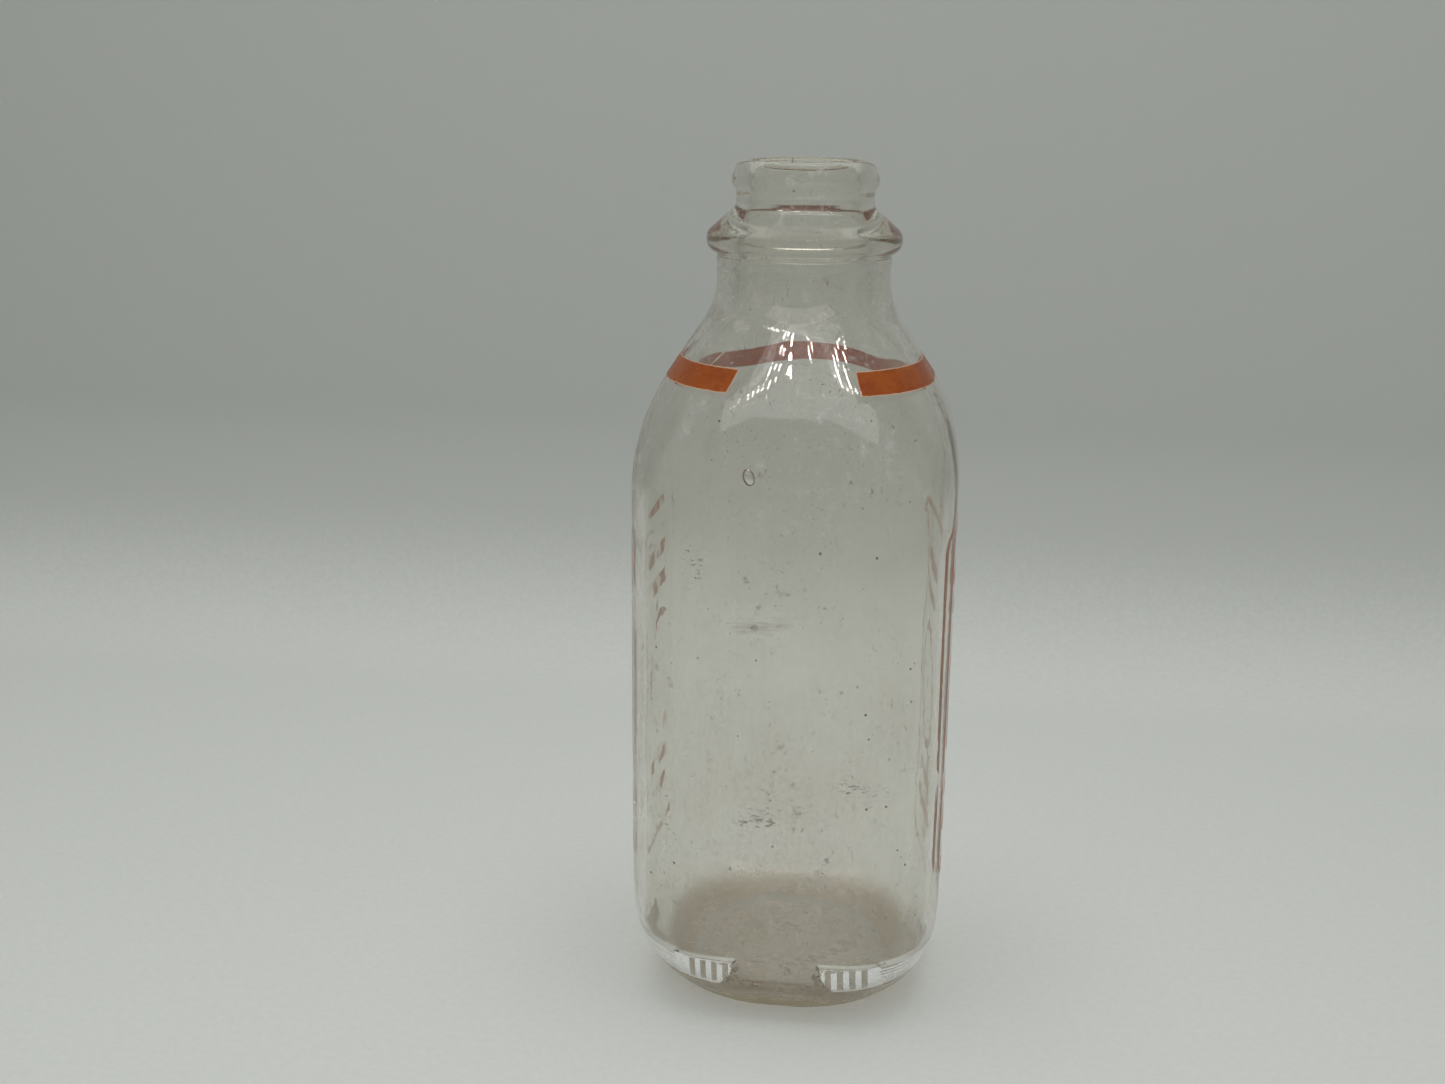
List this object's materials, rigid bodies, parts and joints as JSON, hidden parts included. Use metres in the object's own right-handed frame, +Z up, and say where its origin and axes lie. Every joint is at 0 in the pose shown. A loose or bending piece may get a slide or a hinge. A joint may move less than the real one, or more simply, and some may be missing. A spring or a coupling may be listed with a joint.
{
  "type": "glass milk bottle",
  "caption": "Square clear glass quart milk bottle with round neck, collar and open mouth, worn orange enamel shoulder band and faded side labels.",
  "frame": {"origin": "centre of the foot, on the surface that the bottle stands on", "axes": "+Z up through the mouth, -Y out of the front face, +X towards the right face"},
  "size_m": [0.087, 0.0866, 0.229],
  "materials": {
    "clear_glass": "clear soda-lime glass, faint warm tint, lightly worn",
    "orange_enamel": "fired enamel print, satin, worn"
  },
  "bodies": {
    "root": {"glass_bottle": "clear_glass", "shoulder_band_left": "orange_enamel", "shoulder_band_right": "orange_enamel", "label_right_border": "orange_enamel", "label_right_medallion": "orange_enamel", "label_right_bars": "orange_enamel", "label_left_border": "orange_enamel", "label_left_medallion": "orange_enamel", "label_left_bars": "orange_enamel"}
  },
  "joints": []
}
